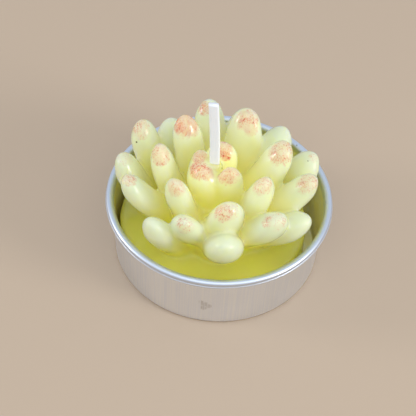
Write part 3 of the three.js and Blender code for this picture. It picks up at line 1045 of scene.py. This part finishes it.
def leaf_frame(leaf):
    """A leaf's length, and its directions along, across and under"""
    span = leaf["tip"] - leaf["root"]
    length = np.linalg.norm(span)
    along = span / length
    aside = np.cross((0, 0, 1), along)
    aside /= np.linalg.norm(aside)
    return length, along, aside, np.cross(aside, along)


def leaf_gap(places, leaf):
    """How far each place is from a leaf's skin, and its share of the leaf's length"""
    length, along, aside, under = leaf_frame(leaf)
    offset = places - leaf["root"]
    risen = offset @ along
    share = np.clip(risen / length, 0, 1)
    down = offset @ under - leaf_bow * np.sin(math.pi * share)
    apart = np.hypot(offset @ aside, down / thickness_share)
    apart = apart - leaf["width"] / 2 * leaf_shape(share)
    past = np.maximum(risen - length, 0) + np.maximum(-leaf["depth"] - risen, 0)
    return apart + past, share


def even_out(mesh, rounds):
    """Takes the voxel steps out of a mesh without shrinking it"""
    inwards, outwards = 0.5, -0.52
    edges, counts = edges_of(mesh)
    places = points_of(mesh)
    for _ in range(rounds):
        for step in (inwards, outwards):
            places += step * (neighbour_mean(places, edges, counts) - places)
    set_points(mesh, places)


def roughen(mesh):
    """The slow lumps of hand-poured wax, from a few waves in set directions"""
    chance = np.random.default_rng(seed=11)
    places = points_of(mesh)
    lumps = np.zeros(len(places))
    for _ in range(lump_waves):
        direction = chance.normal(size=3)
        direction *= 2 * math.pi / chance.uniform(*lump_lengths) / np.linalg.norm(direction)
        lumps += np.sin(places @ direction + chance.uniform(0, 2 * math.pi))
    above = fade(places[:, 2] - foot_bottom, *lump_fade)
    set_points(mesh, places + normals_of(mesh) * (lump_height * lumps * above)[:, None])


def paint_wax(mesh, leaves):
    """Stores for each vertex how far up a leaf it is, times its painted paleness, how pink, and
    if it's the foot
    """
    places = points_of(mesh)
    total = np.full(len(places), unpainted_weight)
    tips = np.zeros(len(places))
    paints = np.zeros((len(places), 3))
    for leaf in leaves:
        apart, share = leaf_gap(places, leaf)
        weight = np.exp(-np.clip(apart, deepest, farthest) / paint_blend)
        total += weight
        # Painted light: the ring's paleness sets how pale its tips are, for how the ring is lit.
        tips += weight * share * leaf["paleness_with_painted_light"]
        _, _, aside, under = leaf_frame(leaf)
        half = leaf["width"] / 2
        dabs = np.zeros((len(places), 3))
        for dab_share, dab_turn, radius, wash, specks in leaf["paint"]:
            turn = math.radians(dab_turn)
            reach = half * leaf_shape(np.array(min(dab_share, last_dab_share)))
            sag = leaf_bow * math.sin(math.pi * dab_share)
            centre = leaf["root"] + (leaf["tip"] - leaf["root"]) * dab_share
            centre = centre + aside * (reach * math.sin(turn))
            centre = centre + under * (sag - reach * thickness_share * math.cos(turn))
            cover = np.clip(dab_edge - np.linalg.norm(places - centre, axis=1) / radius, 0, 1)
            near = np.clip(cover * dab_core, 0, 1)
            dabs = np.maximum(dabs, np.stack([cover, wash * near, specks * near], axis=1))
        paints += weight[:, None] * dabs
    store(mesh, "tip_share", tips / total)
    for i, name in enumerate(("paint_cover", "paint_wash", "paint_specks")):
        store(mesh, name, paints[:, i] / total)
    store(mesh, "foot_share", fade(places[:, 2] - foot_top, *foot_colour_fade))


def cut_tab_recess(wax):
    """Takes the tab's room out of the foot, open below, so that the tab shows"""
    radius = tab_radius + tab_clearance
    step_radius = tab_step_radius + tab_clearance
    neck = neck_radius + tab_clearance
    bottom, top = tab_low.z - tab_step_radius, tab_low.z + tab_sheet + tab_clearance
    profile = [
        (0, bottom), (radius, bottom), (radius, top), (step_radius, top),
        (step_radius, top + tab_step_height), (neck, top + tab_step_height),
        (neck, tab_high.z + tab_clearance), (0, tab_high.z + tab_clearance),
    ]
    room = new_object("tab_room", *lathe(profile, tab_sides, wick_x))
    recalculate_normals(room)
    cut = wax.modifiers.new("recess", "BOOLEAN")
    cut.operation = "DIFFERENCE"
    cut.solver = "MANIFOLD"
    cut.object = room
    bake_modifiers(wax)
    bpy.data.objects.remove(room)


def make_wax(material):
    """One casting of 25 leaves, a mound and a foot, with a recess for the tab"""
    leaves = all_leaves()
    wax = add_object("wax", cast_rosette(leaves, material))
    recalculate_normals(wax)
    even_out(wax.data, rounds=2)
    roughen(wax.data)
    cut_tab_recess(wax)
    paint_wax(wax.data, leaves)
    wax.data.polygons.foreach_set("use_smooth", [True] * len(wax.data.polygons))
    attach(wax, "candle")
    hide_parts("wax_rosette")


# The wick

def make_wick(material):
    """A flat strip with rounded edges along the wick's bent line"""
    section = []
    for x, y, start in ((1, 1, 0), (-1, 1, 90), (-1, -1, 180), (1, -1, 270)):
        centre = (x * (wick_width / 2 - wick_corner), y * (wick_thickness / 2 - wick_corner))
        section += arc(centre, wick_corner, start, start + 90, steps=8)
    vertices, faces = [], []
    top = wick_high.z
    for i in range(wick_steps + 1):
        height = wick_low.z + (top - wick_low.z) * i / wick_steps
        lean = wick_lean * (max(height - bend_height, 0) / (top - bend_height)) ** 2
        vertices += [(wick_x + x - lean, y, height) for x, y in section]
    count = len(section)
    for i in range(wick_steps):
        for j in range(count):
            a, b = i * count + j, i * count + (j + 1) % count
            faces.append((a, b, b + count, a + count))
    faces.append(tuple(range(count))[::-1])
    faces.append(tuple(range(wick_steps * count, (wick_steps + 1) * count)))
    wick = new_object("wick_braid", vertices, faces)
    recalculate_normals(wick, merge=0.000001)
    wick.data.materials.append(material)
    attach(wick, "candle")
    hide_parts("wick")


def make_sustainer(material):
    """The pressed tab, its raised middle and the neck with its pinched waist"""
    step_top = tab_low.z + tab_sheet + tab_step_height
    neck_top = tab_high.z
    waist = (step_top + neck_top) / 2
    foot = [
        (tab_radius, 0), (tab_step_radius, 0),
        (tab_step_radius - tab_step_height, tab_step_height),
        (neck_radius + tab_sheet / 2, tab_step_height),
    ]
    centre = [(x, tab_low.z + tab_sheet / 2 + z) for x, z in foot]
    middle = neck_radius - tab_sheet / 2
    for height in np.linspace(step_top + tab_sheet, neck_top, num=16):
        pinch = waist_depth * math.exp(-(((height - waist) / (3 * waist_depth)) ** 2))
        centre.append((middle - pinch, height))
    profile = sheet_profile(centre[::-1], tab_sheet)
    vertices, faces = lathe(profile, tab_sides, wick_x, closed=True)
    tab = new_object("wick_tab", vertices, faces)
    recalculate_normals(tab)
    tab.data.materials.append(material)
    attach(tab, "candle")
    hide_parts("wick_sustainer")


bpy.context.scene.view_settings.view_transform = "Standard"
add_camera()
add_world()
add_floor()
for lamp in lamps:
    add_softbox(*lamp)

fleck = fleck_group()
drawn_lines = drawn_lines_group()
make_cup(aluminium_material(drawn_lines, fleck))
make_wax(wax_material(fleck, dabbed_paint_group()))
make_wick(cotton_material())
make_sustainer(tinplate_material(drawn_lines))
